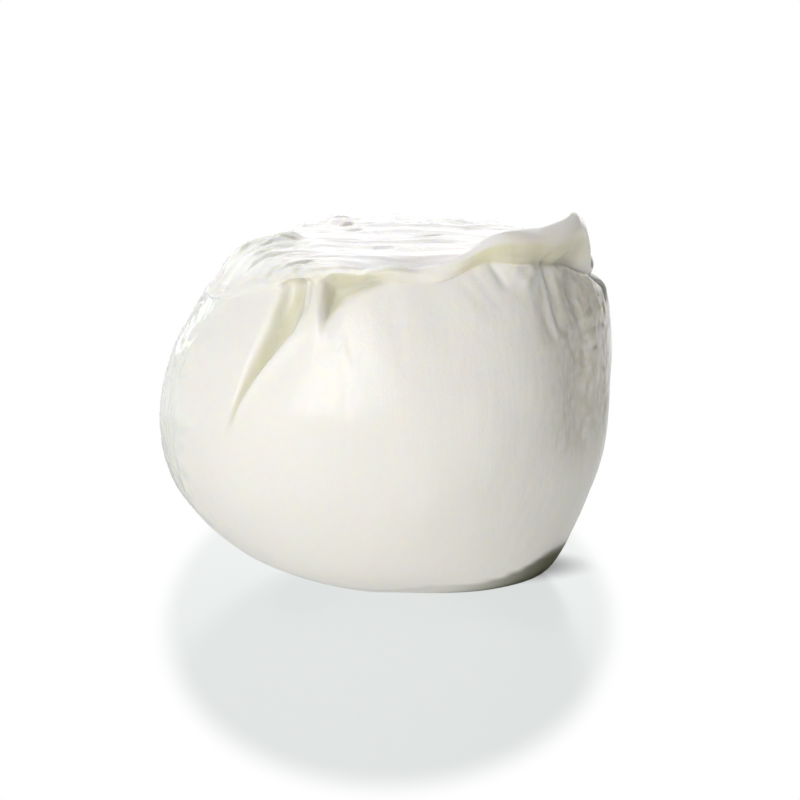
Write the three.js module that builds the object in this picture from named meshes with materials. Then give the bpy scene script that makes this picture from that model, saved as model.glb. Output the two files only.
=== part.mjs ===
// A ball of fresh mozzarella as it is torn off the curd: a sagging body, a flat torn top with a thin
// lip round it, a raised flap with a peak on the right, and a slit with a tongue of skin on the left.
// Millimetres. X points right, Y back and Z up. The ball stands on z = 0.

import * as THREE from "three";
import { ParametricGeometry } from "three/addons/geometries/ParametricGeometry.js";
import { mergeVertices } from "three/addons/utils/BufferGeometryUtils.js";

// The body is lofted through these rings, from the foot to the top. Each gives its reach from the
// upright axis and its height on the four sides.
const rings = {
  soleMiddle: { right: [11.0, 0], back: [6.6, 0], left: [5.0, 0], front: [6.6, 0] },
  footEdge: { right: [20.4, 0], back: [13.0, 0], left: [10.0, 0], front: [11.6, 0] },
  heel: { right: [25.2, 4.0], back: [22.8, 4.9], left: [21.9, 4.7], front: [21.2, 4.9] },
  haunch: { right: [30.6, 18.0], back: [28.1, 15.8], left: [30.1, 13.4], front: [28.3, 15.6] },
  belly: { right: [31.6, 29.4], back: [29.5, 26.4], left: [32.2, 23.0], front: [30.4, 26.8] },
  flank: { right: [31.7, 36.6], back: [28.3, 35.0], left: [30.5, 32.5], front: [29.4, 35.2] },
  shoulder: { right: [31.3, 40.6], back: [26.0, 40.8], left: [27.6, 38.0], front: [27.6, 41.4] },
  brow: { right: [30.6, 42.6], back: [24.4, 43.9], left: [25.5, 41.4], front: [25.4, 45.6] },
  tuck: { right: [29.4, 43.4], back: [22.2, 45.6], left: [24.6, 42.5], front: [24.1, 46.5] },
  lipUnder: { right: [29.4, 44.0], back: [23.4, 46.9], left: [24.3, 43.2], front: [24.8, 47.1] },
  lipRim: { right: [29.4, 45.0], back: [24.0, 47.9], left: [23.7, 44.2], front: [25.0, 47.6] },
  lipTop: { right: [28.6, 46.6], back: [23.2, 48.9], left: [22.3, 45.7], front: [24.6, 48.05] },
  plateEdge: { right: [26.4, 48.2], back: [20.4, 49.2], left: [18.4, 47.8], front: [21.8, 47.8] },
  plateMiddle: { right: [14.1, 48.6], back: [10.8, 48.9], left: [9.6, 48.8], front: [11.3, 48.1] },
};
const plateCentreHeight = 48.5;
const axis = { x: 0.3, y: 0.0 };

// Mesh rows in each span between two rings, from the middle of the sole to the middle of the plate.
const rowsInSpan = [1, 1, 3, 5, 6, 6, 5, 5, 4, 3, 3, 3, 4, 3, 3];
const columns = 100;
const gather = { azimuth: -98, share: 0.6 }; // the columns stand closer together at the front
const lean = { azimuth: -114, shift: -19.5, power: 1.25, inner: 12, outer: 75 }; // and follow the slit

// Azimuths are in degrees, anticlockwise from +X, so the front is at -90 and the back left past -180.
// Shares say how much of a rise or a spread each ring takes.
const lobe = {
  azimuth: -154,
  halfWidth: 22,
  dip: 2.0,
  spread: 1.0,
  shares: { shoulder: 0.2, brow: 0.4, tuck: 0.6, lipUnder: 0.8, lipRim: 1, lipTop: 1 },
};
const flap = {
  start: -84,
  full: -49,
  fall: -21,
  end: -11,
  rise: 5.0,
  extraStart: -42,
  extraFull: -26,
  extraRise: 1.2,
  shares: { lipUnder: 0.1, lipRim: 0.84, lipTop: 1, plateEdge: 0.3 },
  thicken: { lipRim: 0.7, lipTop: 0.5, plateEdge: 1.8 },
};
const peak = { azimuth: -24, halfWidth: 3.6, rise: 0.9 };
const flapSlope = { azimuth: -40, halfWidth: 12, back: 1.2 };
const band = {
  start: -78,
  full: -58,
  fall: -28,
  end: -6,
  rise: 2.9,
  tuckIn: 0.6,
  shares: { shoulder: 0.34, brow: 0.9, tuck: 1, lipUnder: 0.9 },
};
const gap = {
  azimuth: -3,
  halfWidth: 8,
  shares: { tuck: -1.8, lipUnder: -0.6, lipRim: -0.7, lipTop: -0.7 },
};
const notch = {
  azimuth: -107.5,
  sharpness: 2.8,
  runOut: 7,
  drop: 3.3,
  shares: { shoulder: 0.25, brow: 1, tuck: 0.3 },
};
const hollow = { full: -106, end: -84, depth: 1.1, drop: 0.9, browOut: 0.4 };
const slit = {
  top: 46.0,
  length: 21.6,
  left: -126,
  leftDrift: -9.5,
  leftPower: 1.4,
  right: -101,
  rightDrift: -35.5,
  rightPower: 0.55,
  farthest: -119.5,
  narrowest: 1.5,
  depth: 3.0,
  topDepth: 1.5, // the depth beside the lip
  deepAt: 0.3, // share of the length at which the slit is at its deepest
  wall: 4.2, // degrees from the crease up to the right edge
  topWall: 5.0, // and how much more that is at the top
  topWallBelow: [0.35, 0.05], // shares of the length between which that comes in
  proud: 0.4,
  shallowFrom: 0.25, // share of the length from which the slit grows shallower
  flatFrom: 0.6, // and from which its right side no longer stands proud
};

// Where the side runs straight up into the lip: left of the notch, and before the flap.
const closedZones = [
  { start: -190, full: -168, fall: -112, end: -107, shares: { tuck: 0.8, lipUnder: 0.4 } },
  { start: -98, full: -86, fall: -50, end: -34, shares: { tuck: 1.3, lipUnder: 0.6 } },
];

// Waves that run round the ball: how many, where they start and how high they are.
const edgeUp = [[7, 0.4, 0.22], [13, 2, 0.16], [23, 0, 0.1]];
const edgeOut = [[9, 1, 0.15], [19, 0, 0.09]];
const edgeShares = { tuck: 0.5, lipUnder: 0.8, lipRim: 1, lipTop: 1, plateEdge: 0.5 };

// Long low swells of the side: how many run round it, where they start, how many millimetres of
// height turn them by one radian, and how high they are.
const sideSwells = [[3, 1, 11, 0.3], [7, 0, -8, 0.2]];

// The same on the torn top: millimetres across and along for one radian, and how high they are.
const topSwells = [[5, 7, 0.2], [9, 1.6, 0.12]];

// Pleats gathered under the lip: azimuth, sideways drift, length, half width, depth, height of the
// lip. The tongue beside the slit, and the lump beside the deepest pleat, stand out instead.
const pleats = [
  { azimuth: -125, drift: 3.6, length: 7, halfWidth: 1.5, depth: 0.5, lip: 46.0 },
  { azimuth: -113, drift: 6, length: 10, halfWidth: 2.5, depth: -0.6, lip: 46.4 },
  { azimuth: -69, drift: 10, length: 8, halfWidth: 2.2, depth: 0.3, lip: 47.0 },
  { azimuth: -62, drift: 9, length: 9, halfWidth: 2.0, depth: 0.3, lip: 47.5 },
  { azimuth: -56.5, drift: 4, length: 7, halfWidth: 1.8, depth: 0.4, lip: 48.2 },
  { azimuth: -50, drift: 4, length: 6, halfWidth: 2.6, depth: -0.6, lip: 47.6 },
  { azimuth: -39.5, drift: 1, length: 12, halfWidth: 2.0, depth: 1.1, lip: 48.6 },
  { azimuth: -31, drift: 0, length: 9, halfWidth: 1.8, depth: 0.6, lip: 48.2 },
  { azimuth: -26, drift: -6, length: 30, halfWidth: 5.4, depth: 1.2, lip: 46.5 },
  { azimuth: -18, drift: 1, length: 12, halfWidth: 1.8, depth: -0.3, lip: 46.0 },
  { azimuth: -6, drift: 1, length: 14, halfWidth: 2.4, depth: 0.6, lip: 44.0 },
  { azimuth: 16, drift: -4, length: 11, halfWidth: 3.6, depth: 0.8, lip: 44.5 },
  { azimuth: 41, drift: 5, length: 9, halfWidth: 3.8, depth: 0.7, lip: 45.4 },
  { azimuth: 63, drift: -5, length: 13, halfWidth: 4.0, depth: 0.9, lip: 46.0 },
  { azimuth: 86, drift: 4, length: 9, halfWidth: 4.0, depth: 0.7, lip: 46.2 },
  { azimuth: 112, drift: -6, length: 12, halfWidth: 4.0, depth: 0.8, lip: 45.8 },
  { azimuth: 137, drift: 5, length: 9, halfWidth: 3.8, depth: 0.7, lip: 45.0 },
  { azimuth: 160, drift: 3, length: 8, halfWidth: 3.4, depth: 0.5, lip: 44.0 },
];

// Bands of skin folded over the torn top, and the dip between them: each runs from its inner to its
// outer reach, and fades in and out over these distances.
const foldFadeIn = 4;
const foldFadeOut = 3;
const topFolds = [
  { azimuth: -176, halfWidth: 4, inner: 13, outer: 24, rise: 0.9 },
  { azimuth: -168, halfWidth: 3, inner: 10, outer: 20, rise: -0.9 },
  { azimuth: -159, halfWidth: 4, inner: 12, outer: 23, rise: 0.7 },
  { azimuth: 35, halfWidth: 6, inner: 14, outer: 26, rise: 0.6 },
  { azimuth: 97, halfWidth: 6, inner: 12, outer: 23, rise: 0.5 },
  { azimuth: 143, halfWidth: 6, inner: 12, outer: 23, rise: 0.8 },
];

const ringNames = Object.keys(rings);
const level = Object.fromEntries(ringNames.map((name, index) => [name, index + 1]));
const { degToRad, clamp } = THREE.MathUtils;

function smooth(from, to, value) {
  const t = clamp((value - from) / (to - from), 0, 1);
  return t * t * (3 - 2 * t);
}

function bump(centre, halfWidth, value) {
  return Math.exp(-(((value - centre) / halfWidth) ** 2));
}

// 1 from full to fall, and fading to 0 at start and end.
function stretch({ start, full, fall, end }, value) {
  return smooth(start, full, value) * (1 - smooth(fall, end, value));
}

function waving(angle, waves) {
  return waves.reduce((sum, [count, start, size]) => sum + size * Math.sin(count * angle + start), 0);
}

// The shortest turn from one azimuth to another, from -180 to 180.
function turnBetween(azimuth, other) {
  return THREE.MathUtils.euclideanModulo(other - azimuth + 180, 360) - 180;
}

// Blends four values, one for each side, round the ball.
function blendSides(angle, { right, back, left, front }, item) {
  const c = Math.cos(angle);
  const s = Math.sin(angle);
  const alongX = c * c * (c > 0 ? right[item] : left[item]);
  const alongY = s * s * (s > 0 ? back[item] : front[item]);
  return alongX + alongY;
}

// Reach and height of every ring at one azimuth, with the lip's own shape worked in.
function ringsAt(azimuth) {
  const angle = degToRad(azimuth);
  const at = {};
  for (const name of ringNames) {
    at[name] = { reach: blendSides(angle, rings[name], 0), height: blendSides(angle, rings[name], 1) };
  }
  const raise = (shares, amount) => {
    for (const [name, share] of Object.entries(shares)) at[name].height += share * amount;
  };
  const spread = (shares, amount) => {
    for (const [name, share] of Object.entries(shares)) at[name].reach += share * amount;
  };

  // The notch is sharp beside the tongue, and a hollow runs out of it to the right under the lip.
  const sharpSide = smooth(notch.azimuth - notch.sharpness, notch.azimuth, azimuth);
  const notchHere = sharpSide * Math.exp(-Math.max(azimuth - notch.azimuth, 0) / notch.runOut);
  const hollowHere = sharpSide * (1 - smooth(hollow.full, hollow.end, azimuth));
  raise(notch.shares, -notch.drop * notchHere);
  raise({ tuck: 1 }, -hollow.drop * hollowHere);
  spread({ brow: hollow.browOut, tuck: -hollow.depth }, hollowHere);
  for (const zone of closedZones) spread(zone.shares, stretch(zone, azimuth));

  // The flap is the raised part of the lip. Its band of skin stands on the body and ends in the peak.
  const flapHere = stretch(flap, azimuth);
  const bandHere = stretch(band, azimuth);
  const flapRise = flap.rise + flap.extraRise * smooth(flap.extraStart, flap.extraFull, azimuth);
  raise(flap.shares, flapRise * flapHere + peak.rise * bump(peak.azimuth, peak.halfWidth, azimuth));
  raise(band.shares, band.rise * bandHere);
  spread(flap.thicken, flapHere);
  spread({ lipTop: -flapSlope.back }, bump(flapSlope.azimuth, flapSlope.halfWidth, azimuth));
  spread({ brow: -band.tuckIn, tuck: -band.tuckIn }, bandHere);
  spread(gap.shares, bump(gap.azimuth, gap.halfWidth, azimuth));

  // The lip dips and spreads over the left lobe.
  const lobeHere = bump(lobe.azimuth, lobe.halfWidth, azimuth);
  raise(lobe.shares, -lobe.dip * lobeHere);
  spread(lobe.shares, lobe.spread * lobeHere);

  // The torn edge is never straight.
  raise(edgeShares, waving(angle, edgeUp));
  spread(edgeShares, waving(angle, edgeOut));

  const middleOfSole = { reach: 0, height: 0 };
  const middleOfPlate = { reach: 0, height: plateCentreHeight };
  return [middleOfSole, ...ringNames.map((name) => at[name]), middleOfPlate];
}

// A point on the smooth curve that runs up through the rings.
function curveThrough(stations, row) {
  const last = stations.length - 1;
  const span = Math.min(Math.floor(row), last - 1);
  const near = [span - 1, span, span + 1, span + 2].map((index) => stations[clamp(index, 0, last)]);
  const curve = new THREE.SplineCurve(near.map(({ reach, height }) => new THREE.Vector2(reach, height)));
  return curve.getPoint((1 + row - span) / 3);
}

// How far the skin stands out from the lofted side, or in where negative.
function sideRelief(azimuth, row, height) {
  const angle = degToRad(azimuth);
  const onSide = smooth(level.heel, level.belly, row) * (1 - smooth(level.tuck, level.lipRim, row));
  let relief = 0;
  for (const [count, start, rise, size] of sideSwells) {
    relief += size * Math.sin(count * angle + start + height / rise);
  }

  // The slit's left side slopes down to its crease, and its right side rises steeply from it.
  const fall = clamp((slit.top - height) / slit.length, 0, 1);
  const leftEdge = slit.left + slit.leftDrift * fall ** slit.leftPower;
  const wanted = Math.min(slit.right + slit.rightDrift * fall ** slit.rightPower, slit.farthest);
  const crease = Math.max(wanted, leftEdge + slit.narrowest);
  const wall = slit.wall * (1.3 - fall);
  const slope = wall + slit.topWall * smooth(...slit.topWallBelow, fall);
  const pastCrease = azimuth - crease;
  const sunk = smooth(-0.2, 1.05, (azimuth - leftEdge) / (crease - leftEdge));
  const depth = THREE.MathUtils.lerp(slit.topDepth, slit.depth, smooth(0, slit.deepAt, fall));
  relief -= depth * smooth(1, slit.shallowFrom, fall) * sunk * (1 - smooth(0, slope, pastCrease));
  relief += slit.proud * smooth(1, slit.flatFrom, fall) * bump(1.4 * wall, wall, pastCrease);

  for (const pleat of pleats) {
    const along = (pleat.lip - height) / pleat.length;
    const centre = pleat.azimuth + pleat.drift * clamp(along, 0, 1.2);
    const fade = smooth(-0.25, 0, along) * (1 - smooth(0.35, 1, along));
    relief -= pleat.depth * fade * bump(0, pleat.halfWidth, turnBetween(centre, azimuth));
  }
  return relief * onSide;
}

// How far the torn top stands up from the lofted plate, or down where negative.
function topRelief(azimuth, row, reach) {
  const angle = degToRad(azimuth);
  const x = reach * Math.cos(angle);
  const y = reach * Math.sin(angle);
  const onTop = smooth(level.lipTop - 0.4, level.lipTop + 0.6, row);
  let relief = 0;
  for (const [across, along, size] of topSwells) relief += size * Math.sin(x / across + y / along);
  for (const fold of topFolds) {
    const begun = smooth(fold.inner, fold.inner + foldFadeIn, reach);
    const ended = smooth(fold.outer - foldFadeOut, fold.outer, reach);
    relief += fold.rise * begun * (1 - ended) * bump(0, fold.halfWidth, turnBetween(fold.azimuth, azimuth));
  }
  return relief * onTop;
}

// The columns stand closer together at the front, and lean along the slit beside it.
function columnAzimuth(column, row) {
  const turn = 2 * Math.PI * (column / columns) - Math.PI;
  const upright = gather.azimuth + THREE.MathUtils.radToDeg(turn - gather.share * Math.sin(turn));
  const top = level.brow + 0.3;
  const down = clamp((top - row) / (top - level.belly), 0, 1) ** lean.power;
  const shift = lean.shift * down * smooth(level.footEdge, level.belly, row);
  const besideSlit = smooth(lean.outer, lean.inner, Math.abs(turnBetween(lean.azimuth, upright)));
  return upright + shift * besideSlit;
}

function surfacePoint(column, row, target) {
  const azimuth = THREE.MathUtils.euclideanModulo(columnAzimuth(column, row) + 270, 360) - 270;
  const angle = degToRad(azimuth);
  const station = curveThrough(ringsAt(azimuth), row);
  const reach = station.x + sideRelief(azimuth, row, station.y);
  const height = station.y + topRelief(azimuth, row, reach);
  target.set(axis.x + reach * Math.cos(angle), axis.y + reach * Math.sin(angle), Math.max(height, 0));
}

// The rows' places along the rings, as ring numbers with fractions.
function rowPlaces() {
  const places = [];
  for (const [span, count] of rowsInSpan.entries()) {
    for (let step = 0; step < count; step += 1) places.push(span + step / count);
  }
  return [...places, rowsInSpan.length];
}

// Joins the seam and both middles, and drops the triangles that have no area there.
function closed(geometry) {
  const bare = new THREE.BufferGeometry();
  bare.setAttribute("position", geometry.getAttribute("position"));
  bare.setIndex(geometry.getIndex());
  const merged = mergeVertices(bare, 1e-4);
  const corners = Array.from(merged.getIndex().array);
  const kept = [];
  for (let i = 0; i < corners.length; i += 3) {
    const [a, b, c] = corners.slice(i, i + 3);
    if (a !== b && b !== c && c !== a) kept.push(a, b, c);
  }
  merged.setIndex(kept);
  merged.computeVertexNormals();
  return merged;
}

function ballGeometry() {
  const places = rowPlaces();
  const stacks = places.length - 1;
  const skin = (u, v, target) => {
    const row = places[Math.round(v * stacks)];
    if (row === 0) return target.set(axis.x, axis.y, 0);
    if (row === rowsInSpan.length) return target.set(axis.x, axis.y, plateCentreHeight);
    return surfacePoint(Math.round(u * columns) % columns, row, target);
  };
  return closed(new ParametricGeometry(skin, columns, stacks));
}

const curd = new THREE.MeshStandardMaterial({ color: 0xf1eee6, roughness: 0.35, metalness: 0 });
const ball = new THREE.Mesh(ballGeometry(), curd);
ball.name = "mozzarella_ball";

const model = new THREE.Group();
model.add(ball);

export default model;
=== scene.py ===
import math

import bpy
import numpy as np
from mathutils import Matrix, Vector


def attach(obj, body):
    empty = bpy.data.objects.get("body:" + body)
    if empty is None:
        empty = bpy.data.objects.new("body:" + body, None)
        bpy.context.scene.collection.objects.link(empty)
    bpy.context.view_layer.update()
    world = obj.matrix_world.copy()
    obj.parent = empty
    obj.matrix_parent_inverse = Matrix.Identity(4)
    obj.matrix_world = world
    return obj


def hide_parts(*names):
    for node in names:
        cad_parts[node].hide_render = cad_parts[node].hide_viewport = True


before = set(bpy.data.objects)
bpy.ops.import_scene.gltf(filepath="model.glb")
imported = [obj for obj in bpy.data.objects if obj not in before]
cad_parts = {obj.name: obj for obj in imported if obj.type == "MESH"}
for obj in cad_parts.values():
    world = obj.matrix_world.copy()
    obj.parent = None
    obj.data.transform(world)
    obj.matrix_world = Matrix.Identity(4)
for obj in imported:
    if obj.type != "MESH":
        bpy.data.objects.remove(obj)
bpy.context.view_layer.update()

scene = bpy.context.scene
mm = 0.001
ballNode = "mozzarella_ball"


# 0 at low and 1 at high, eased at both ends
def smooth(low, high, value):
    t = np.clip((value - low) / (high - low), 0, 1)
    return t * t * (3 - 2 * t)


# 1 at the centre, and falling away on both sides
def bump(centre, halfWidth, value):
    return np.exp(-(((value - centre) / halfWidth) ** 2))


# 1 from full to fall, and fading to 0 at start and end
def stretch(sizes, value):
    return smooth(sizes["start"], sizes["full"], value) * (1 - smooth(sizes["fall"], sizes["end"], value))


# shortest turn from one azimuth to another, in degrees
def turnBetween(azimuth, other):
    return (other - azimuth + 180) % 360 - 180


def waving(angle, waves):
    return sum(size * np.sin(count * angle + start) for count, start, size in waves)


cameraSetup = {
    "lens": 120.0,
    "sensor": 36.0,
    "elevation": 11.0,  # degrees above the table
    "distance": 0.3827,
    "target": Vector((0.00194, 0.0, 0.0254)),
}


def addCamera(setup):
    camera = bpy.data.objects.new("camera", bpy.data.cameras.new("camera"))
    camera.data.lens = setup["lens"]
    camera.data.sensor_width = setup["sensor"]
    camera.data.clip_start = 0.01
    camera.data.clip_end = 50
    rise = math.radians(setup["elevation"])
    back = Vector((0, -math.cos(rise), math.sin(rise)))
    camera.location = setup["target"] + setup["distance"] * back
    camera.rotation_euler = (-back).to_track_quat("-Z", "Y").to_euler()
    scene.collection.objects.link(camera)
    scene.camera = camera


addCamera(cameraSetup)
print("camera placed")


# the ball's shape is in mm, and its azimuths in degrees, anticlockwise from +X, so the front is at -90
# reach from the upright axis and height above the table, on the four sides of each ring
ballRings = {
    "soleMiddle": {"right": (11.0, 0), "back": (6.6, 0), "left": (5.0, 0), "front": (6.6, 0)},
    "footEdge": {"right": (20.4, 0), "back": (13.0, 0), "left": (10.0, 0), "front": (11.6, 0)},
    "heel": {"right": (25.2, 4.0), "back": (22.8, 4.9), "left": (21.9, 4.7), "front": (21.2, 4.9)},
    "haunch": {"right": (30.6, 18.0), "back": (28.1, 15.8), "left": (30.1, 13.4), "front": (28.3, 15.6)},
    "belly": {"right": (31.6, 29.4), "back": (29.5, 26.4), "left": (32.2, 23.0), "front": (30.4, 26.8)},
    "flank": {"right": (31.7, 36.6), "back": (28.3, 35.0), "left": (30.5, 32.5), "front": (29.4, 35.2)},
    "shoulder": {"right": (31.3, 40.6), "back": (26.0, 40.8), "left": (27.6, 38.0), "front": (27.6, 41.4)},
    "brow": {"right": (30.6, 42.6), "back": (24.4, 43.9), "left": (25.5, 41.4), "front": (25.4, 45.6)},
    "tuck": {"right": (29.4, 43.4), "back": (22.2, 45.6), "left": (24.6, 42.5), "front": (24.1, 46.5)},
    "lipUnder": {"right": (29.4, 44.0), "back": (23.4, 46.9), "left": (24.3, 43.2), "front": (24.8, 47.1)},
    "lipRim": {"right": (29.4, 45.0), "back": (24.0, 47.9), "left": (23.7, 44.2), "front": (25.0, 47.6)},
    "lipTop": {"right": (28.6, 46.6), "back": (23.2, 48.9), "left": (22.3, 45.7), "front": (24.6, 48.05)},
    "plateEdge": {"right": (26.4, 48.2), "back": (20.4, 49.2), "left": (18.4, 47.8), "front": (21.8, 47.8)},
    "plateMiddle": {"right": (14.1, 48.6), "back": (10.8, 48.9), "left": (9.6, 48.8), "front": (11.3, 48.1)},
}
ringNames = list(ballRings)
level = {name: number for number, name in enumerate(ringNames, start=1)}

# shares say how much of a rise or a spread each ring takes
ballShape = {
    "axis": (0.3, 0.0),
    "plateCentreHeight": 48.5,
    "columns": 500,
    "rowsInSpan": (2, 3, 8, 14, 18, 16, 18, 18, 14, 8, 8, 8, 13, 28, 18),
    "crowd": {"start": -166, "full": -148, "fall": -12, "end": 6, "extra": 1.7},
    "lean": {"azimuth": -114, "shift": -19.5, "power": 1.25, "inner": 12, "outer": 75},
    "lobe": {"azimuth": -154, "halfWidth": 22, "dip": 2.0, "spread": 1.0},
    "lobeShares": {"shoulder": 0.2, "brow": 0.4, "tuck": 0.6, "lipUnder": 0.8, "lipRim": 1, "lipTop": 1},
    "flap": {"start": -84, "full": -49, "fall": -21, "end": -11, "rise": 5.0},
    "flapExtra": {"start": -42, "full": -26, "rise": 1.2},
    "flapShares": {"lipUnder": 0.1, "lipRim": 0.84, "lipTop": 1, "plateEdge": 0.3},
    "flapThicken": {"lipRim": 0.7, "lipTop": 0.5, "plateEdge": 1.8},
    "peak": {"azimuth": -24, "halfWidth": 3.6, "rise": 0.9},
    "flapSlope": {"azimuth": -40, "halfWidth": 12, "back": 1.2},
    "band": {"start": -78, "full": -58, "fall": -28, "end": -6, "rise": 2.9, "tuckIn": 0.6},
    "bandShares": {"shoulder": 0.34, "brow": 0.9, "tuck": 1, "lipUnder": 0.9},
    "gap": {"azimuth": -3, "halfWidth": 8},
    "gapShares": {"tuck": -1.8, "lipUnder": -0.6, "lipRim": -0.7, "lipTop": -0.7},
    "notch": {"azimuth": -107.5, "sharpness": 2.8, "runOut": 7, "drop": 3.3},
    "notchShares": {"shoulder": 0.25, "brow": 1, "tuck": 0.3},
    "hollow": {"full": -106, "end": -84, "depth": 0.9, "drop": 0.9, "browOut": 0.4},
    "closed": {"start": -190, "full": -168, "fall": -112, "end": -107, "tuckOut": 0.8, "underOut": 0.4},
    "flush": {"start": -98, "full": -86, "fall": -50, "end": -34, "tuckOut": 1.3, "underOut": 0.6},
    "flushShares": {"lipUnder": 0.3, "lipRim": 0.3, "plateEdge": -0.6},
    "slit": {"top": 46.0, "length": 21.6, "left": -126, "leftDrift": -9.5, "leftPower": 1.4,
             "right": -101, "rightDrift": -35.5, "rightPower": 0.55, "farthest": -119.5,
             "narrowest": 0.8, "depth": 3.0, "topDepth": 1.5, "leftSlope": (-0.2, 1.05),
             "wall": 3.0, "wallTaper": 1.3, "topWall": 5.0, "proud": 0.4, "crest": 1.4,
             # shares of the way down: where it is deep, widens at the top, runs out and lies flat
             "deepAt": 0.3, "topWallFrom": (0.35, 0.05), "shallowFrom": 0.25, "flatFrom": 0.6},
    # long low swells of the side: how many run round it, where they start, how many mm of height
    # turn them by one radian, and how high they are
    "sideSwells": ((3, 1, 11, 0.3), (7, 0, -8, 0.2)),
    # the torn top's fine ripple and its long swell
    "topRipple": {"size": 0.08, "spacing": 1.05, "sway": 0.9, "swayAcross": 6},
    "topSwell": {"size": 0.2, "across": 5, "along": 7},
    "skinReach": 30.0,  # the reach at which folds are measured along the skin
}

# waves that run round the ball: how many, where they start and how high they are
tornEdge = {
    "up": ((7, 0.4, 0.22), (13, 2, 0.16), (23, 0, 0.1)),
    "out": ((9, 1, 0.15), (19, 0, 0.09)),
    "shares": {"tuck": 0.5, "lipUnder": 0.8, "lipRim": 1, "lipTop": 1, "plateEdge": 0.5},
    "fineUp": ((41, 1, 0.06), (67, 0.3, 0.05), (97, 2, 0.035)),
    "fineOut": ((37, 0.5, 0.08), (59, 2, 0.06), (103, 1, 0.04)),
    "fineShares": {"lipUnder": 0.5, "lipRim": 1, "lipTop": 0.8},
    "farUp": ((17, 0.3, 0.26), (29, 1.2, 0.2), (53, 2.2, 0.08)),
    "farShares": {"lipTop": 0.7, "plateEdge": 1},
    "farHalfWidth": 55,
    "calm": 0.8,  # how much of the fine tearing the flap and the closed front of the lip lose
}

# folds of the side: how far each stands out, its width to the left and right of its line in mm,
# and the line itself, downwards, as azimuths and heights
sideFolds = {
    "left flute": (-0.6, (0.5, 0.5), ((-125, 46), (-124.4, 43.5), (-124.6, 40))),
    "flute ridge": (0.4, (0.6, 0.6), ((-122, 46), (-121.4, 43.6), (-121, 41.4))),
    "top of the slit": (-0.5, (0.8, 0.9), ((-119.2, 46.4), (-118.8, 43.8), (-119, 40.6))),
    "slim ridge": (0.35, (0.5, 0.5), ((-117, 46.2), (-116.6, 43.8), (-116, 41.6))),
    "tongue": (0.6, (1.4, 1.0), ((-113, 46.4), (-111.6, 43.8), (-109.4, 41.2), (-107, 37))),
    "tongue flute": (-0.5, (0.4, 0.4), ((-115, 46), (-114.4, 43.6), (-113.4, 41.4))),
    "drip": (0.12, (0.4, 0.4), ((-102.4, 38.8), (-101.4, 37.2), (-99.8, 34.8), (-99.2, 34))),
    "first soft pleat": (-0.15, (1.1, 0.8), ((-69, 46.6), (-64.5, 44), (-59.5, 41))),
    "second soft pleat": (-0.15, (1.0, 0.8), ((-64.5, 47.2), (-60.6, 44.6), (-56.2, 40.6))),
    "left of the lumps": (-0.3, (0.7, 0.6), ((-58, 48.2), (-56.5, 46.6), (-54, 44.4))),
    "big lump": (0.6, (1.5, 1.5), ((-52, 47.6), (-49, 46.2), (-46.5, 44.6))),
    "side of the lump": (0.4, (1.0, 1.0), ((-46, 47.6), (-45, 46.2))),
    "deep pleat": (-0.8, (0.9, 1.3),
                   ((-38, 48.6), (-39.4, 46.4), (-39.6, 44.4), (-40, 42.6), (-40, 40.9), (-37, 36.4))),
    "pleat crease": (-0.35, (0.4, 0.3),
                     ((-38, 48.6), (-39.6, 46.4), (-39.8, 44.4), (-40.2, 42.6), (-40.2, 40.9), (-37, 37))),
    "beside the pleat": (-0.5, (1.8, 0.8), ((-43.5, 43.4), (-44.5, 41), (-42, 36))),
    "second pleat": (-0.35, (1.1, 1.2), ((-29.5, 48.2), (-31.5, 45.8), (-31.5, 43.6), (-28, 39.6))),
    "long hollow": (-1.1, (3.6, 2.6), ((-24, 46.5), (-31, 42), (-33, 36), (-33, 31), (-31, 26), (-27, 16))),
    "fold in the hollow": (-0.35, (0.9, 0.9),
                           ((-27, 45.5), (-29.5, 41.5), (-27.5, 37), (-30, 33), (-27, 28))),
    "ridge by the gap": (0.3, (0.9, 0.7), ((-19, 46), (-19.5, 42.5), (-16, 36))),
    "gap": (-2.2, (0.6, 0.4), ((-2.5, 45), (-7.5, 42.8), (-9.5, 39.8))),
    "faint line": (-0.05, (0.4, 0.4), ((-101.2, 34.5), (-100.4, 29), (-100.6, 19))),
    "far pleat 1": (-0.7, (1.6, 1.2), ((16, 44.8), (14, 39.5), (12, 34))),
    "far pleat 2": (-0.7, (1.6, 1.8), ((41, 45.6), (44, 41), (46, 37))),
    "far pleat 3": (-0.9, (1.8, 1.4), ((63, 46.2), (60, 40), (57, 33.5))),
    "far pleat 4": (-0.7, (1.8, 1.8), ((84, 46.4), (87, 42), (89, 38))),
    "far pleat 5": (-0.8, (1.5, 2.0), ((-248, 46), (-252, 40.5), (-255, 34))),
    "far pleat 6": (-0.7, (1.6, 1.5), ((-223, 45.2), (-219, 41), (-217, 37))),
    "far pleat 7": (-0.5, (1.4, 1.4), ((-200, 44.2), (-198, 40.5), (-197, 37))),
}

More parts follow.
